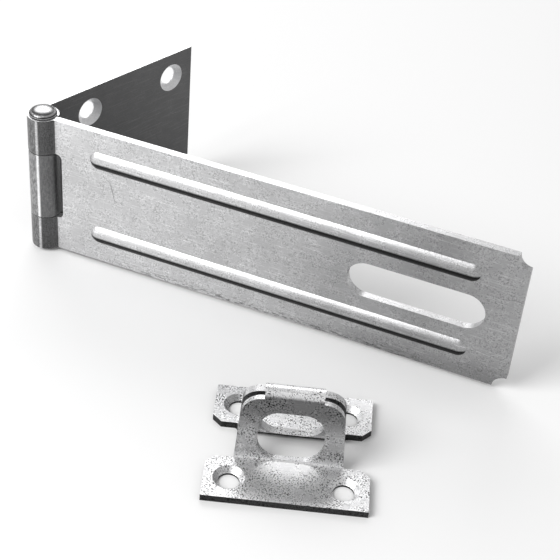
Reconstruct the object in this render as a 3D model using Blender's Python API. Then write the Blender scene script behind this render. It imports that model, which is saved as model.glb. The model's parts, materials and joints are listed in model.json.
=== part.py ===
"""A hinged hasp with its staple, formed from flat steel sheet.

The hasp stands on its long edge with the hinge pin upright: the slotted arm runs along +X from the
pin and the fixing leaf stands open behind it. The staple stands on its two feet in front of the arm.
Each sheet piece is drawn as a flat blank (distance along the sheet, width, thickness), cut and
embossed flat, and then bent along its path.
"""

from math import asin, atan2, ceil, cos, degrees, pi, radians, sin, sqrt

import bmesh
import bpy
from mathutils import Matrix, Vector

MM = 0.001
GAP = 0.3 * MM  # between pieces that touch on the real object

# Sheet and hinge
ARM_SHEET = 2.2 * MM
LEAF_SHEET = 2.2 * MM
PIN_RADIUS = 2.1 * MM
PIN_CLEARANCE = 0.3 * MM
HEAD_RADIUS = 4.0 * MM
TOP_HEAD_HEIGHT = 1.4 * MM
LOW_HEAD_HEIGHT = 0.9 * MM
CRATER_RADIUS = 1.5 * MM
CRATER_DEPTH = 0.35 * MM
HINGE_HEIGHT = 44.5 * MM
LEAF_KNUCKLE = 21.5 * MM  # height of the middle knuckle, which belongs to the leaf
HINGE_OPEN = 68.4  # degrees from the arm round to the leaf

# Arm
ARM_LENGTH = 144.0 * MM  # pin axis to free end
ARM_SETBACK = 0.7 * MM  # middle of the arm's sheet, in front of the pin axis
NECK_RADIUS = 1.0 * MM  # inside radius where the arm turns into its knuckles
ARM_ROLL_GAP = 14.0  # degrees left open between the rolled end and the arm
NOTCH_CLEARANCE = 2.0 * MM  # arm's notch to the leaf's knuckle
NOTCH_CORNER = 1.6 * MM
CORNER_BITE = 3.7 * MM  # hollow corners at the free end
SLOT_LENGTH = 39.6 * MM
SLOT_HEIGHT = 11.3 * MM
SLOT_FROM_END = 9.2 * MM
RIB_LENGTH = 115.8 * MM
RIB_WIDTH = 5.6 * MM
RIB_RISE = 1.2 * MM
RIB_SPACING = 25.9 * MM
RIB_FROM_END = 12.4 * MM

# Leaf
LEAF_LENGTH = 59.8 * MM  # pin axis to free end
LEAF_ROLL = 285.0  # degrees of the rolled knuckle
LEAF_CLEARANCE = 0.5 * MM  # leaf's edge to the arm's knuckles
LEAF_HOLE_NEAR = 19.2 * MM  # two upper holes, from the pin axis
LEAF_HOLE_FAR = 51.5 * MM
LEAF_HOLE_SPACING = 28.4 * MM  # upper pair to the lower hole midway between them
LEAF_HOLE_RADIUS = 2.7 * MM
LEAF_SINK_RADIUS = 4.45 * MM

# Staple
STAPLE_SHEET = 2.0 * MM
FOOT_WIDTH = 41.9 * MM
STAPLE_DEPTH = 40.6 * MM
STAPLE_HEIGHT = 21.9 * MM
FOOT_SPACING = 12.6 * MM  # between the bends where the two walls rise from their feet
FOOT_BEND = 0.5 * MM  # inside radius
TOP_ROLL = 2.7 * MM  # outside radius over the top
WALL_TOP_WIDTH = 26.6 * MM
WALL_FOOT_WIDTH = 28.2 * MM
WALL_FLARE = 0.8 * MM  # rounding where a wall runs into its foot
STRIP_WIDTH = 15.0 * MM
STRIP_END = 2.4 * MM  # half the strip's length, along the bend
SHOULDER_RADIUS = 5.4 * MM
EYE_WIDTH = 17.1 * MM
EYE_HEIGHT = 13.9 * MM
EYE_CORNER = 5.4 * MM
EYE_DROP = 13.05 * MM  # from the middle of the roll to the eye's middle, along the sheet
EAR_CHAMFER = 2.4 * MM
STAPLE_HOLE_SPACING = 29.0 * MM
STAPLE_HOLE_INSET = 6.9 * MM
STAPLE_HOLE_RADIUS = 2.7 * MM
STAPLE_SINK_RADIUS = 4.1 * MM
STAPLE_PLACE = (99.4 * MM, -49.4 * MM)
STAPLE_TURN = 18.0

# Values that follow from the ones above
BORE_RADIUS = PIN_RADIUS + PIN_CLEARANCE
ARM_BARREL = BORE_RADIUS + ARM_SHEET
LEAF_BARREL = BORE_RADIUS + LEAF_SHEET
LEAF_LOW = (HINGE_HEIGHT - LEAF_KNUCKLE) / 2
LEAF_HIGH = (HINGE_HEIGHT + LEAF_KNUCKLE) / 2
PIN_FOOT = LOW_HEAD_HEIGHT + GAP  # hinge's lower edge above the ground
BEND_STEP = 12.0
CIRCLE_STEPS = 40
CUT_MARGIN = 5.0 * MM


def clear_scene():
    for old in list(bpy.data.objects):
        bpy.data.objects.remove(old, do_unlink=True)


def zinc(name, shade, roughness):
    material = bpy.data.materials.new(name)
    material.use_nodes = True
    surface = material.node_tree.nodes["Principled BSDF"]
    surface.inputs["Base Color"].default_value = (shade, shade, shade * 1.01, 1.0)
    surface.inputs["Roughness"].default_value = roughness
    surface.inputs["Metallic"].default_value = 1.0
    return material


def add_object(name, mesh):
    made = bpy.data.objects.new(name, mesh)
    bpy.context.scene.collection.objects.link(made)
    return made


def mesh_object(name, bm):
    bmesh.ops.recalc_face_normals(bm, faces=bm.faces)
    mesh = bpy.data.meshes.new(name)
    bm.to_mesh(mesh)
    bm.free()
    return add_object(name, mesh)


def arc(centre, radii, start, stop, steps):
    """Points on an ellipse's arc, in degrees, both ends included."""
    turns = [radians(start + (stop - start) * i / steps) for i in range(steps + 1)]
    return [(centre[0] + radii[0] * cos(a), centre[1] + radii[1] * sin(a)) for a in turns]


def prism(name, outline, low, high):
    """An upright solid on a flat outline."""
    bm = bmesh.new()
    base = bm.faces.new([bm.verts.new((x, y, low)) for x, y in outline])
    sides = bmesh.ops.extrude_face_region(bm, geom=[base])
    top = [v for v in sides["geom"] if isinstance(v, bmesh.types.BMVert)]
    bmesh.ops.translate(bm, verts=top, vec=(0, 0, high - low))
    return mesh_object(name, bm)


def capsule(name, place, length, radius, floor=None):
    """A round-ended bar along X, cut flat at the height floor if one is given."""
    bm = bmesh.new()
    bmesh.ops.create_uvsphere(bm, u_segments=32, v_segments=17, radius=radius)
    bmesh.ops.rotate(bm, verts=bm.verts, cent=(0, 0, 0), matrix=Matrix.Rotation(pi / 2, 3, "Y"))
    for vert in bm.verts:
        vert.co.x += (length / 2 - radius) * (1 if vert.co.x > 0 else -1)
    bmesh.ops.translate(bm, verts=bm.verts, vec=place)
    if floor is not None:
        everything = bm.verts[:] + bm.edges[:] + bm.faces[:]
        cut = bmesh.ops.bisect_plane(
            bm, geom=everything, plane_co=(0, 0, floor), plane_no=(0, 0, 1), clear_inner=True)
        rim = [edge for edge in cut["geom_cut"] if isinstance(edge, bmesh.types.BMEdge)]
        bmesh.ops.contextual_create(bm, geom=rim)
    return mesh_object(name, bm)


def cutter_of(solid):
    solid.hide_render = True
    solid.display_type = "WIRE"
    return solid


def combine(target, tool, operation):
    modifier = target.modifiers.new(tool.name, "BOOLEAN")
    modifier.operation = operation
    modifier.solver = "EXACT"
    modifier.object = cutter_of(tool)


def countersunk_hole(target, x, y, hole, sink, sheet):
    """A screw hole whose cone opens on the sheet's upper side."""
    cone_depth = sink - hole
    outline = [(0, -sheet), (hole, -sheet), (hole, sheet / 2 - cone_depth)]
    outline += [(sink + CUT_MARGIN, sheet / 2 + CUT_MARGIN), (0, sheet / 2 + CUT_MARGIN)]
    bm = bmesh.new()
    verts = [bm.verts.new((r, 0, z)) for r, z in outline]
    edges = [bm.edges.new(pair) for pair in zip(verts, verts[1:])]
    bmesh.ops.spin(bm, geom=verts + edges, cent=(0, 0, 0), axis=(0, 0, 1), angle=2 * pi,
                   steps=CIRCLE_STEPS, use_merge=True)
    bmesh.ops.remove_doubles(bm, verts=bm.verts, dist=1e-7)
    bmesh.ops.translate(bm, verts=bm.verts, vec=(x, y, 0))
    combine(target, mesh_object(target.name + "_screw_cutter", bm), "DIFFERENCE")


def sheet_path(start, heading, moves):
    """Stations along the middle of a bent sheet.

    A move is a length, or a pair (radius, degrees) that turns left when it is positive.
    Each station is (distance, middle of the sheet, direction of the sheet's upper side).
    """
    place = Vector(start)
    course = radians(heading)
    distance = 0.0
    stations = [(distance, place.copy(), Vector((-sin(course), cos(course))))]
    for move in moves:
        if isinstance(move, tuple):
            radius, turn = move
            steps = ceil(abs(turn) / BEND_STEP)
            step = radians(turn) / steps
            side = 1 if turn > 0 else -1
            hub = place + radius * side * Vector((-sin(course), cos(course)))
            for _ in range(steps):
                course += step
                distance += radius * abs(step)
                normal = Vector((-sin(course), cos(course)))
                place = hub - radius * side * normal
                stations.append((distance, place.copy(), normal))
        else:
            place = place + move * Vector((cos(course), sin(course)))
            distance += move
            stations.append((distance, place.copy(), Vector((-sin(course), cos(course)))))
    return stations


def bent_point(stations, distance, rise):
    for low, high in zip(stations, stations[1:]):
        if distance <= high[0] or high is stations[-1]:
            share = (distance - low[0]) / (high[0] - low[0])
            middle = low[1].lerp(high[1], share)
            return middle + rise * low[2].lerp(high[2], share)


def form(blank, name, stations, standing):
    """Bend a blank along its path; a standing sheet keeps its width upright."""
    bpy.context.view_layer.update()
    evaluated = blank.evaluated_get(bpy.context.evaluated_depsgraph_get())
    bm = bmesh.new()
    bm.from_mesh(evaluated.to_mesh())
    evaluated.to_mesh_clear()
    for distance, _, _ in stations[1:-1]:
        bmesh.ops.bisect_plane(bm, geom=bm.verts[:] + bm.edges[:] + bm.faces[:], dist=2e-6,
                               plane_co=(distance, 0, 0), plane_no=(1, 0, 0))
    bmesh.ops.dissolve_degenerate(bm, dist=2e-6, edges=bm.edges)
    bmesh.ops.triangulate(bm, faces=bm.faces)
    for vert in bm.verts:
        along, across, rise = vert.co
        first, second = bent_point(stations, along, rise)
        vert.co = (first, second, across) if standing else (across, first, second)
    cutter_of(blank)
    return mesh_object(name, bm)


def arm_path():
    """From the free end along the arm, through the neck and round the pin."""
    middle = BORE_RADIUS + ARM_SHEET / 2
    neck = NECK_RADIUS + ARM_SHEET / 2
    reach = ARM_SETBACK + neck
    neck_x = sqrt((middle + neck) ** 2 - reach ** 2)
    contact = degrees(asin(reach / (middle + neck)))
    roll = 360.0 - contact - ARM_ROLL_GAP
    moves = [ARM_LENGTH - neck_x, (neck, 90.0 - contact), (middle, -roll)]
    return sheet_path((ARM_LENGTH, -ARM_SETBACK), 180.0, moves)


def arm_outline(end):
    """Blank with bitten corners, and a rounded notch between its two knuckle tabs."""
    low = LEAF_LOW - GAP
    high = LEAF_HIGH + GAP
    notch = ARM_LENGTH - LEAF_BARREL - NOTCH_CLEARANCE
    bite = (CORNER_BITE, CORNER_BITE)
    corner = (NOTCH_CORNER, NOTCH_CORNER)
    points = arc((0, 0), bite, 90, 0, 8)
    points += [(end, 0), (end, low)]
    points += arc((notch + NOTCH_CORNER, low + NOTCH_CORNER), corner, 270, 180, 5)
    points += arc((notch + NOTCH_CORNER, high - NOTCH_CORNER), corner, 180, 90, 5)
    points += [(end, high), (end, HINGE_HEIGHT)]
    points += arc((0, HINGE_HEIGHT), bite, 0, -90, 8)
    return points


def slot_outline():
    radius = SLOT_HEIGHT / 2
    middle = HINGE_HEIGHT / 2
    near = SLOT_FROM_END + radius
    far = SLOT_FROM_END + SLOT_LENGTH - radius
    half = CIRCLE_STEPS // 2
    points = arc((far, middle), (radius, radius), -90, 90, half)
    return points + arc((near, middle), (radius, radius), 90, 270, half)


def add_rib(blank, across):
    """A ridge on the upper side and, a sheet's thickness inside it, a groove on the lower side."""
    ridge_radius = (RIB_WIDTH ** 2 / 4 + RIB_RISE ** 2) / (2 * RIB_RISE)
    depth = ARM_SHEET / 2 + RIB_RISE - ridge_radius
    middle = RIB_FROM_END + RIB_LENGTH / 2
    hidden = 2 * (ridge_radius - RIB_WIDTH / 2)
    groove_radius = ridge_radius - ARM_SHEET
    ridge = capsule("rib_ridge", (middle, across, depth), RIB_LENGTH + hidden, ridge_radius, floor=0.0)
    groove = capsule("rib_groove", (middle, across, depth),
                     RIB_LENGTH + hidden - 2 * ARM_SHEET, groove_radius)
    combine(blank, ridge, "UNION")
    combine(blank, groove, "DIFFERENCE")


def hasp_arm():
    path = arm_path()
    blank = prism("arm_blank", arm_outline(path[-1][0]), -ARM_SHEET / 2, ARM_SHEET / 2)
    for side in (-1, 1):
        add_rib(blank, HINGE_HEIGHT / 2 + side * RIB_SPACING / 2)
    combine(blank, prism("slot_cutter", slot_outline(), -CUT_MARGIN, CUT_MARGIN), "DIFFERENCE")
    return form(blank, "hasp_arm", path, standing=True)


def leaf_path():
    """From the free end along the leaf and round the pin."""
    middle = BORE_RADIUS + LEAF_SHEET / 2
    return sheet_path((LEAF_LENGTH, middle), 180.0, [LEAF_LENGTH, (middle, LEAF_ROLL)])


def leaf_outline(end):
    inner_face = BORE_RADIUS
    setback = sqrt((ARM_BARREL + LEAF_CLEARANCE) ** 2 - inner_face ** 2)
    shoulder = LEAF_LENGTH - setback
    return [(0, 0), (shoulder, 0), (shoulder, LEAF_LOW), (end, LEAF_LOW),
            (end, LEAF_HIGH), (shoulder, LEAF_HIGH), (shoulder, HINGE_HEIGHT), (0, HINGE_HEIGHT)]


def hinge_leaf():
    path = leaf_path()
    blank = prism("leaf_blank", leaf_outline(path[-1][0]), -LEAF_SHEET / 2, LEAF_SHEET / 2)
    high = HINGE_HEIGHT / 2 + LEAF_HOLE_SPACING / 2
    low = HINGE_HEIGHT / 2 - LEAF_HOLE_SPACING / 2
    midway = (LEAF_HOLE_NEAR + LEAF_HOLE_FAR) / 2
    for reach, across in ((LEAF_HOLE_NEAR, high), (LEAF_HOLE_FAR, high), (midway, low)):
        countersunk_hole(blank, LEAF_LENGTH - reach, across,
                         LEAF_HOLE_RADIUS, LEAF_SINK_RADIUS, LEAF_SHEET)
    leaf = form(blank, "hinge_leaf", path, standing=True)
    leaf.rotation_euler.z = radians(HINGE_OPEN)
    return leaf


def dome_profile(base, direction, height):
    """A head's outline from its rim to near the axis, rising in the given direction."""
    points = []
    for x, y in arc((0, 0), (HEAD_RADIUS, height), 0, 80, 8):
        points.append((x, base + direction * y))
    return points


def hinge_pin():
    """A straight pin with a domed head at each end, the upper one dented by the punch."""
    top = HINGE_HEIGHT + GAP
    crest = top + TOP_HEAD_HEIGHT
    upper = [point for point in dome_profile(top, 1, TOP_HEAD_HEIGHT) if point[0] > CRATER_RADIUS]
    lower = dome_profile(-GAP, -1, LOW_HEAD_HEIGHT)
    outline = [(0, -GAP - LOW_HEAD_HEIGHT)] + lower[::-1]
    outline += [(PIN_RADIUS, -GAP), (PIN_RADIUS, top)] + upper
    outline += [(CRATER_RADIUS, crest - CRATER_DEPTH / 3), (0, crest - CRATER_DEPTH)]
    bm = bmesh.new()
    verts = [bm.verts.new((r, 0, z)) for r, z in outline]
    edges = [bm.edges.new(pair) for pair in zip(verts, verts[1:])]
    bmesh.ops.spin(bm, geom=verts + edges, cent=(0, 0, 0), axis=(0, 0, 1), angle=2 * pi,
                   steps=CIRCLE_STEPS, use_merge=True)
    bmesh.ops.remove_doubles(bm, verts=bm.verts, dist=1e-7)
    return mesh_object("hinge_pin", bm)


def staple_path():
    """Front foot, front wall, rolled top, back wall, back foot.

    The walls lean together, so that they meet the roll smoothly at the staple's height.
    """
    top = TOP_ROLL - STAPLE_SHEET / 2
    foot = FOOT_BEND + STAPLE_SHEET / 2
    flat = (STAPLE_DEPTH - FOOT_SPACING) / 2
    half_span = FOOT_SPACING / 2
    rise = STAPLE_HEIGHT - STAPLE_SHEET - foot - top
    wall = sqrt(half_span ** 2 + rise ** 2 - (foot + top) ** 2)
    slope = degrees(atan2(rise, half_span) + atan2(foot + top, wall))
    moves = [flat, (foot, slope), wall, (top, -2 * slope), wall, (foot, slope), flat]
    return sheet_path((-STAPLE_DEPTH / 2, STAPLE_SHEET / 2), 0.0, moves)


def staple_quarter(flat, centre):
    """A quarter of the blank's outline, from the foot's outer corner to the strip's middle."""
    ear = FOOT_WIDTH / 2
    wall_foot = WALL_FOOT_WIDTH / 2
    wall_top = WALL_TOP_WIDTH / 2
    flare = (WALL_FLARE, WALL_FLARE)
    round_shoulder = (SHOULDER_RADIUS, SHOULDER_RADIUS)
    shoulder_x = centre - STRIP_END - SHOULDER_RADIUS
    points = [(0, ear), (flat - EAR_CHAMFER, ear), (flat, ear - EAR_CHAMFER)]
    points += arc((flat + WALL_FLARE, wall_foot + WALL_FLARE), flare, 180, 270, 4)
    points += arc((shoulder_x, wall_top - SHOULDER_RADIUS), round_shoulder, 90, 0, 8)
    points += [(centre - STRIP_END, STRIP_WIDTH / 2)]
    return points


def eye_outline(middle):
    """The wall's opening: nearly oval, flat along its top and bottom."""
    corner_x = EYE_HEIGHT / 2 - EYE_CORNER
    corner_y = EYE_WIDTH / 2 - EYE_CORNER
    round_corner = (EYE_CORNER, EYE_CORNER)
    points = []
    for turn, side_x, side_y in ((0, 1, 1), (90, -1, 1), (180, -1, -1), (270, 1, -1)):
        place = (middle + side_x * corner_x, side_y * corner_y)
        points += arc(place, round_corner, turn, turn + 90, 8)
    return points


def staple():
    path = staple_path()
    flat = path[1][0]
    end = path[-1][0]
    quarter = staple_quarter(flat, end / 2)
    far = [(end - x, y) for x, y in reversed(quarter)]
    near_side = quarter + far
    outline = near_side + [(x, -y) for x, y in reversed(near_side)]
    blank = prism("staple_blank", outline, -STAPLE_SHEET / 2, STAPLE_SHEET / 2)
    for side in (-1, 1):
        eye = eye_outline(end / 2 + side * EYE_DROP)
        combine(blank, prism("eye_cutter", eye, -CUT_MARGIN, CUT_MARGIN), "DIFFERENCE")
        hole_x = end / 2 + side * (end / 2 - STAPLE_HOLE_INSET)
        for across in (-STAPLE_HOLE_SPACING / 2, STAPLE_HOLE_SPACING / 2):
            countersunk_hole(blank, hole_x, across,
                             STAPLE_HOLE_RADIUS, STAPLE_SINK_RADIUS, STAPLE_SHEET)
    formed = form(blank, "staple", path, standing=False)
    formed.location = (*STAPLE_PLACE, -PIN_FOOT)
    formed.rotation_euler.z = radians(STAPLE_TURN)
    return formed


def corners(piece):
    return [piece.matrix_world @ vert.co for vert in piece.data.vertices]


def stand_on_origin(pieces):
    """Hang every piece on one empty, and move it so the origin is under the middle of them all."""
    bpy.context.view_layer.update()
    points = [point for piece in pieces for point in corners(piece)]
    low = Vector([min(point[i] for point in points) for i in range(3)])
    high = Vector([max(point[i] for point in points) for i in range(3)])
    root = add_object("hasp_and_staple", None)
    for piece in pieces:
        piece.parent = root
    root.location = (-(low.x + high.x) / 2, -(low.y + high.y) / 2, -low.z)


def main():
    clear_scene()
    finishes = ((hasp_arm, 0.62, 0.38), (hinge_leaf, 0.45, 0.4), (hinge_pin, 0.5, 0.35),
                (staple, 0.6, 0.38))
    pieces = []
    for make, shade, roughness in finishes:
        piece = make()
        piece.data.materials.append(zinc(piece.name + "_zinc", shade, roughness))
        piece.data.shade_smooth()
        piece.data.set_sharp_from_angle(angle=radians(30))
        pieces.append(piece)
    stand_on_origin(pieces)


main()
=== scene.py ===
"""Looks for the hinged hasp and its staple: zinc-plated sheet steel on a white table."""

from math import cos, radians, sin
import json

import bpy
from mathutils import Matrix, Vector

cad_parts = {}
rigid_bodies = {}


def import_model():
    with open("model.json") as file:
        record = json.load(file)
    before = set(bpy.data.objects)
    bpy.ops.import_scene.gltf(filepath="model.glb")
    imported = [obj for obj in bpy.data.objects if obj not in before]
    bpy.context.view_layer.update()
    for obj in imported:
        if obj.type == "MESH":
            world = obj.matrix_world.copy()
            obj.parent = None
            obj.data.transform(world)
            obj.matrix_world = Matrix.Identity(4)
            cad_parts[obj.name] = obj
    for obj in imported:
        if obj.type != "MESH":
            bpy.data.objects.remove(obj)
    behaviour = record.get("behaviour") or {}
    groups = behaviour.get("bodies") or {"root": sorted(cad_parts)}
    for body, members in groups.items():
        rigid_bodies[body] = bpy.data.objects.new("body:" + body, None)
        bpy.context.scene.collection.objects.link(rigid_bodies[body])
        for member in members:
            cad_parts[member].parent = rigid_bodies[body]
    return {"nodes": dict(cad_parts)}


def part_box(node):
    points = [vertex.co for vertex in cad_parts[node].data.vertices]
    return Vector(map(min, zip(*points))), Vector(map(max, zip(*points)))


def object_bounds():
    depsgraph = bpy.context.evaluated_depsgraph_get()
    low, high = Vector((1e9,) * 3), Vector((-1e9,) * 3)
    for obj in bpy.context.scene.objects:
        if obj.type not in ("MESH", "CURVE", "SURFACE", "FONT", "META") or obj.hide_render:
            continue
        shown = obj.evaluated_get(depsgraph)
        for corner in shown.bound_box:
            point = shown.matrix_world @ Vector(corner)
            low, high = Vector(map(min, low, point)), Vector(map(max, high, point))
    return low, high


MM = 0.001

NORMAL = 1  # outputs of the Texture Coordinate node
OBJECT = 3

# The camera, measured from the foot of the hinge pin's axis
CAMERA_FROM_PIN = Vector((177.0, -292.7, 253.9)) * MM
AIM_FROM_PIN = Vector((79.4, -7.8, 20.0)) * MM
CAMERA_ROLL = 5.4
LENS = 88.8
SHIFT_X = -0.008

CLOUDS = 60  # how many of each mark fit in a metre
PATCHES = 300
GRAINS = 2600
# the painted dark shade of the rolled knuckles
KNUCKLE_PAINTED_SHADE = 0.16
CRISP_ANGLE = 32.0  # sharper corners than this are cut edges, and gentler ones are bends
LEAF_TURN = 68.4
STAPLE_TURN = 18.0


class Value:
    """A shader socket that can be used in sums."""

    def __init__(self, tree, socket):
        self.tree = tree
        self.socket = socket

    def math(self, operation, first, second):
        return self.tree.node("ShaderNodeMath", {"operation": operation}, [first, second])[0]

    def __add__(self, other):
        return self.math("ADD", self, other)

    def __sub__(self, other):
        return self.math("SUBTRACT", self, other)

    def __rsub__(self, other):
        return self.math("SUBTRACT", other, self)

    def __mul__(self, other):
        return self.math("MULTIPLY", self, other)

    __radd__ = __add__
    __rmul__ = __mul__

    def between(self, low, high):
        """0 below low, 1 above high, smooth in between."""
        settings = {"interpolation_type": "SMOOTHSTEP"}
        return self.tree.node("ShaderNodeMapRange", settings, {0: self, 1: low, 2: high})[0]


class Tree:
    """The nodes of a material or of the world."""

    def __init__(self, owner):
        owner.use_nodes = True
        self.nodes = owner.node_tree.nodes
        self.links = owner.node_tree.links

    def feed(self, socket, value):
        if isinstance(value, Value):
            self.links.new(value.socket, socket)
        else:
            socket.default_value = value

    def node(self, kind, settings, sockets):
        """Adds a node: its settings first, then its sockets, by place or by name."""
        made = self.nodes.new(kind)
        for name, setting in settings.items():
            setattr(made, name, setting)
        pairs = sockets.items() if isinstance(sockets, dict) else enumerate(sockets)
        for name, value in pairs:
            self.feed(made.inputs[name], value)
        return [Value(self, output) for output in made.outputs]

    def place(self, turn=0.0, tilt=0.0, stretch=(1, 1, 1)):
        """The point on the piece, turned to the sheet's own face, tilted in it and stretched."""
        point = self.node("ShaderNodeTexCoord", {}, [])[OBJECT]
        facing = {"Vector": point, "Rotation": (0, 0, radians(-turn))}
        flat = self.node("ShaderNodeMapping", {}, facing)[0]
        tilted = {"Vector": flat, "Rotation": (0, radians(tilt), 0), "Scale": stretch}
        return self.node("ShaderNodeMapping", {}, tilted)[0]

    def noise(self, place, scale, detail=3.0, roughness=0.5):
        sockets = {"Vector": place, "Scale": scale, "Detail": detail, "Roughness": roughness}
        return self.node("ShaderNodeTexNoise", {}, sockets)[0]

    def part(self, vector, axis):
        return self.node("ShaderNodeSeparateXYZ", {}, [vector])["XYZ".index(axis)]

    def along(self, axis):
        """Where the point is along an axis."""
        return self.part(self.node("ShaderNodeTexCoord", {}, [])[OBJECT], axis)

    def facing(self, axis):
        """How far the face looks along an axis, from -1 to 1."""
        return self.part(self.node("ShaderNodeTexCoord", {}, [])[NORMAL], axis)

    def grey(self, brightness):
        return self.node("ShaderNodeCombineColor", {}, [brightness, brightness, brightness * 1.01])[0]

    def bump(self, height, strength, distance):
        sockets = {"Strength": strength, "Distance": distance, "Height": height}
        return self.node("ShaderNodeBump", {}, sockets)[0]


def scratches(tree, turn, tilt, length, fineness, rarity):
    """Long thin marks in one direction, 1 on a mark and 0 off it."""
    lines = tree.noise(tree.place(turn, tilt, (1, fineness, fineness)), 1 / length, 1.0, 0.3)
    return lines.between(rarity, rarity + 0.03)


def zinc(name, shade, roughness, speckle, tone_at, turn=0.0):
    """Zinc plate: a cloudy tone, fine pits and bright flecks, and short scratches."""
    material = bpy.data.materials.new(name)
    tree = Tree(material)
    surface = tree.nodes["Principled BSDF"]
    cloud = tree.noise(tree.place(), CLOUDS, 4.0, 0.55)
    patches = tree.noise(tree.place(), PATCHES, 3.0, 0.6)
    fine = tree.noise(tree.place(), GRAINS, 2.0, 0.6)
    pits = fine.between(0.54, 0.62) * patches.between(0.35, 0.58) * speckle
    flecks = (1 - fine).between(0.54, 0.62) * patches.between(0.30, 0.55) * speckle
    marks = scratches(tree, turn, 28, 9 * MM, 34, 0.66) + scratches(tree, turn, -52, 7 * MM, 30, 0.67)
    tone = shade * tone_at(tree)
    tone = tone * (0.76 + 0.48 * cloud) * (0.86 + 0.28 * patches)
    tone = tone * (1 - 0.68 * pits) * (1 + 0.35 * flecks + 0.22 * marks)
    tree.feed(surface.inputs["Base Color"], tree.grey(tone))
    rough = roughness + 0.12 * (cloud - 0.5) + 0.12 * pits - 0.05 * flecks
    tree.feed(surface.inputs["Roughness"], rough)
    surface.inputs["Metallic"].default_value = 1.0
    height = fine + 0.6 * patches - 0.7 * marks
    tree.feed(surface.inputs["Normal"], tree.bump(height, 0.4, 0.04 * MM))
    return material


def line_mark(tree, start, stop, width):
    """A single scratch on the arm's face: 1 on the straight line between two (X, Z) places."""
    run = Vector((stop[0] - start[0], stop[1] - start[1]))
    way = run.normalized()
    x = tree.along("X") - start[0]
    z = tree.along("Z") - start[1]
    on = x * way.x + z * way.y
    off = x * way.y - z * way.x
    near = 1 - (off * off).between((0.4 * width) ** 2, width ** 2)
    return near * on.between(0, 0.2 * run.length) * (1 - on.between(0.8 * run.length, run.length))


def arm_tone(low, high, pin_x):
    """The arm's tone over its length, on its ribs, along its cut edges and round its knuckles.

    The plate is painted brightest near the hinge and darker to its free end, as painted falloff of light.
    Faces that look up get a painted highlight, and faces that look down are painted dark as shade, such as
    the ribs' lower sides and the sheared lower edge.
    """
    def tone(tree):
        along = tree.along("X")
        # painted falloff of light: the plate is painted darker towards its free end
        painted_falloff = along.between(low.x + 0.2 * (high.x - low.x), high.x)
        plate = along.between(pin_x + 4.6 * MM, pin_x + 5.4 * MM)
        up = tree.facing("Z")
        # painted shade on faces that look down, and a painted highlight on faces that look up
        painted_underside_shade = (-1 * up).between(0.01, 0.2)
        painted_top_highlight = up.between(0.1, 0.5)
        drag = tree.noise(tree.place(0, -40, (0.25, 1, 1)), 2200, 2.0, 0.6).between(0.48, 0.62)
        middle = along.between(-52 * MM, -30 * MM) * (1 - along.between(45 * MM, 62 * MM))
        rim = 1 - tree.along("Z").between(low.z + 0.8 * MM, low.z + 2.6 * MM)
        shear = rim * drag * middle
        dark_mark = line_mark(tree, (pin_x + 22 * MM, 31 * MM), (pin_x + 24 * MM, 23 * MM), 0.12 * MM)
        pale_mark = line_mark(tree, (57 * MM, 12 * MM), (71 * MM, 10.5 * MM), 0.12 * MM)
        flat = (1.0 - 0.42 * painted_falloff) * (1 + 0.4 * painted_top_highlight) * (1 - 0.97 * painted_underside_shade) * (1 - 0.55 * shear)
        # darker along the lower edge, from about x 10 mm on towards the free end
        darker_low_band = along.between(10 * MM, 34 * MM) * (1 - tree.along("Z").between(low.z + 2 * MM, low.z + 8 * MM))
        flat = flat * (1 - 0.6 * dark_mark) * (1 + 0.5 * pale_mark) * (1 - 0.25 * darker_low_band)
        return plate * flat + (1 - plate) * knuckle_tone(tree)
    return tone


def knuckle_tone(tree):
    """A rolled knuckle in painted light: painted pale to the left, a painted highlight line, then painted
    dark as shade, and a painted highlight where it turns up.
    """
    # painted light by which way the face looks: a pale left side, a highlight line and a highlight where it
    # turns up
    across = tree.facing("X")
    line = across.between(-0.08, 0.04) * (1 - across.between(0.08, 0.2))
    pale = 1 - across.between(-0.1, 0.1)
    rub = tree.noise(tree.place(0, 8, (1, 1, 0.3)), GRAINS, 2.0, 0.6).between(0.35, 0.65)
    painted_up_highlight = tree.facing("Z").between(0.3, 0.8)
    # painted shade: the knuckle's dark tone, varied by random rubbing
    dark = KNUCKLE_PAINTED_SHADE * (0.85 + 0.3 * rub)
    return dark + (0.06 + 0.16 * rub) * pale + 0.75 * line + 0.5 * painted_up_highlight


def leaf_tone(pin_foot, barrel):
    """The leaf's broad faces are painted dark as shade, and its edges, countersinks and bends painted
    brighter as highlights.
    """
    def tone(tree):
        turn = radians(LEAF_TURN)
        flatness = sin(turn) * tree.facing("X") - cos(turn) * tree.facing("Y")
        # painted light by which way the face looks: broad faces painted dark as shade, the other faces
        # painted bright as highlights
        broad = (flatness * flatness).between(0.75, 0.92)
        plate = 0.11 + 0.75 * (1 - broad)
        x = tree.along("X") - pin_foot.x
        y = tree.along("Y") - pin_foot.y
        flat = (x * x + y * y).between(barrel ** 2, (barrel + 0.6 * MM) ** 2)
        return flat * plate + (1 - flat) * knuckle_tone(tree)
    return tone


def pin_tone(tree):
    """A dome in painted reflections: painted bright, with a painted dark ring where it meets the knuckle, and
    a duller painted ring nearer its middle.
    """
    up = tree.facing("Z")
    # painted reflections: two painted dark rings, placed by which way the face looks
    ring = up.between(0.3, 0.5) * (1 - up.between(0.66, 0.8))
    rim = up.between(0.86, 0.92) * (1 - up.between(0.95, 0.985))
    return 0.75 - 0.68 * ring - 0.55 * rim


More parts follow.
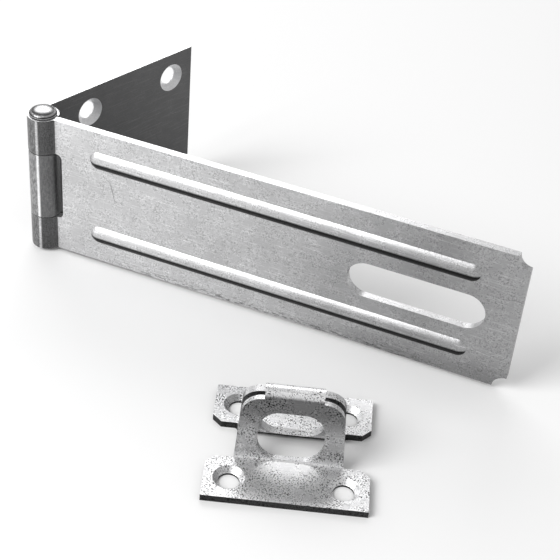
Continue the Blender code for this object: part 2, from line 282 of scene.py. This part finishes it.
def staple_tone(low, high):
    """Painted light: feet and roll painted bright as lit faces, walls painted duller and darkest as painted
    shade under the roll, and the sheared edges painted black as shade.
    """
    def tone(tree):
        height = tree.along("Z")
        up = tree.facing("Z")
        # painted shade on faces that look down
        down = (-1 * up).between(0.05, 0.4)
        # the feet, painted bright as lit faces, and darker towards the left
        foot = 1 - height.between(low.z + 2.1 * MM, low.z + 4.5 * MM)
        left = 1 - tree.along("X").between(low.x, low.x + 0.45 * (high.x - low.x))
        # painted shade: the sheared edge of the feet is painted black
        edge = (1 - height.between(low.z + 1.9 * MM, low.z + 2.1 * MM)) * (1 - up.between(0.2, 0.5))
        # painted shade under the roll, darkest high on the walls
        painted_shade_under_roll = height.between(low.z + 8 * MM, low.z + 17 * MM)
        wall = 0.5 - 0.32 * painted_shade_under_roll
        # painted highlight on faces that look up
        level = up.between(0.3, 0.65)
        tone = foot * (1.0 - 0.3 * left) + (1 - foot) * (wall + level * (1.1 - wall))
        return tone * (1 - 0.95 * edge) * (1 - 0.85 * down)
    return tone


def dress(node, material):
    """A sheet piece gets its finish, smooth bends and crisp cut edges."""
    slots = node.data.materials
    slots.clear()
    slots.append(material)
    for face in node.data.polygons:
        face.use_smooth = True
    weld = node.modifiers.new("join", "WELD")
    weld.merge_threshold = 0.002 * MM
    flatten = node.modifiers.new("flatten", "DECIMATE")
    flatten.decimate_type = "DISSOLVE"
    flatten.angle_limit = radians(0.5)
    split = node.modifiers.new("cut_edges", "EDGE_SPLIT")
    split.split_angle = radians(CRISP_ANGLE)
    smooth = node.modifiers.new("smooth", "WEIGHTED_NORMAL")
    smooth.weight = 80


def white_table(level):
    """A pale table under the pieces."""
    bpy.ops.object.select_all(action="DESELECT")
    bpy.ops.mesh.primitive_plane_add(size=6.0, location=(0, 0, level))
    table = bpy.context.object
    table.name = "table_top"
    material = bpy.data.materials.new("white_table")
    surface = Tree(material).nodes["Principled BSDF"]
    surface.inputs["Base Color"].default_value = (0.94, 0.94, 0.94, 1)
    surface.inputs["Roughness"].default_value = 0.9
    table.data.materials.append(material)


def lamp(name, place, aim, width, height, power):
    data = bpy.data.lights.new(name, "AREA")
    data.shape = "RECTANGLE"
    data.size = width
    data.size_y = height
    data.energy = power
    made = bpy.data.objects.new(name, data)
    bpy.context.scene.collection.objects.link(made)
    made.location = place
    made.rotation_euler = (Vector(aim) - Vector(place)).to_track_quat("-Z", "Y").to_euler()


def studio(centre):
    """A softbox at the front left, a weaker one at the back left, and a dim white room."""
    lamp("front_softbox", centre + Vector((-0.5, -0.6, 0.7)), centre, 0.6, 0.6, 8.0)
    lamp("back_softbox", centre + Vector((-0.42, 0.72, 0.66)), centre, 0.8, 0.5, 3.2)
    world = bpy.data.worlds.new("studio")
    bpy.context.scene.world = world
    tree = Tree(world)
    room = tree.nodes["Background"]
    room.inputs["Color"].default_value = (1, 1, 1, 1)
    seen_by_camera = tree.node("ShaderNodeLightPath", {}, [])[0]
    tree.feed(room.inputs["Strength"], 0.48 + 0.52 * seen_by_camera)


def camera(pin_foot):
    data = bpy.data.cameras.new("camera")
    data.lens = LENS
    data.shift_x = SHIFT_X
    data.clip_start = 0.01
    made = bpy.data.objects.new("camera", data)
    bpy.context.scene.collection.objects.link(made)
    made.location = pin_foot + CAMERA_FROM_PIN
    look = (AIM_FROM_PIN - CAMERA_FROM_PIN).to_track_quat("-Z", "Y").to_matrix()
    made.rotation_euler = (look @ Matrix.Rotation(radians(CAMERA_ROLL), 3, "Z")).to_euler()
    bpy.context.scene.camera = made


def main():
    for old in list(bpy.data.objects):
        bpy.data.objects.remove(old, do_unlink=True)
    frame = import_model()
    cad_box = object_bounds()
    nodes = frame["nodes"]
    pin_low, pin_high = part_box("hinge_pin")
    pin_foot = Vector(((pin_low.x + pin_high.x) / 2, (pin_low.y + pin_high.y) / 2, pin_low.z))
    arm_low, arm_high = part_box("hasp_arm")
    tone = arm_tone(arm_low, arm_high, pin_foot.x)
    dress(nodes["hasp_arm"], zinc("arm_zinc", 0.63, 0.4, 0.5, tone))
    tone = leaf_tone(pin_foot, pin_foot.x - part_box("hinge_leaf")[0].x)
    dress(nodes["hinge_leaf"], zinc("leaf_zinc", 1.0, 0.42, 0.15, tone, LEAF_TURN))
    dress(nodes["hinge_pin"], zinc("pin_steel", 0.62, 0.3, 0.6, pin_tone))
    tone = staple_tone(*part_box("staple"))
    dress(nodes["staple"], zinc("staple_zinc", 0.86, 0.4, 1.45, tone, STAPLE_TURN))
    white_table(cad_box[0][2])
    studio(Vector((0, 0, 0)))
    camera(pin_foot)
    bpy.context.scene.view_settings.view_transform = "Standard"


main()
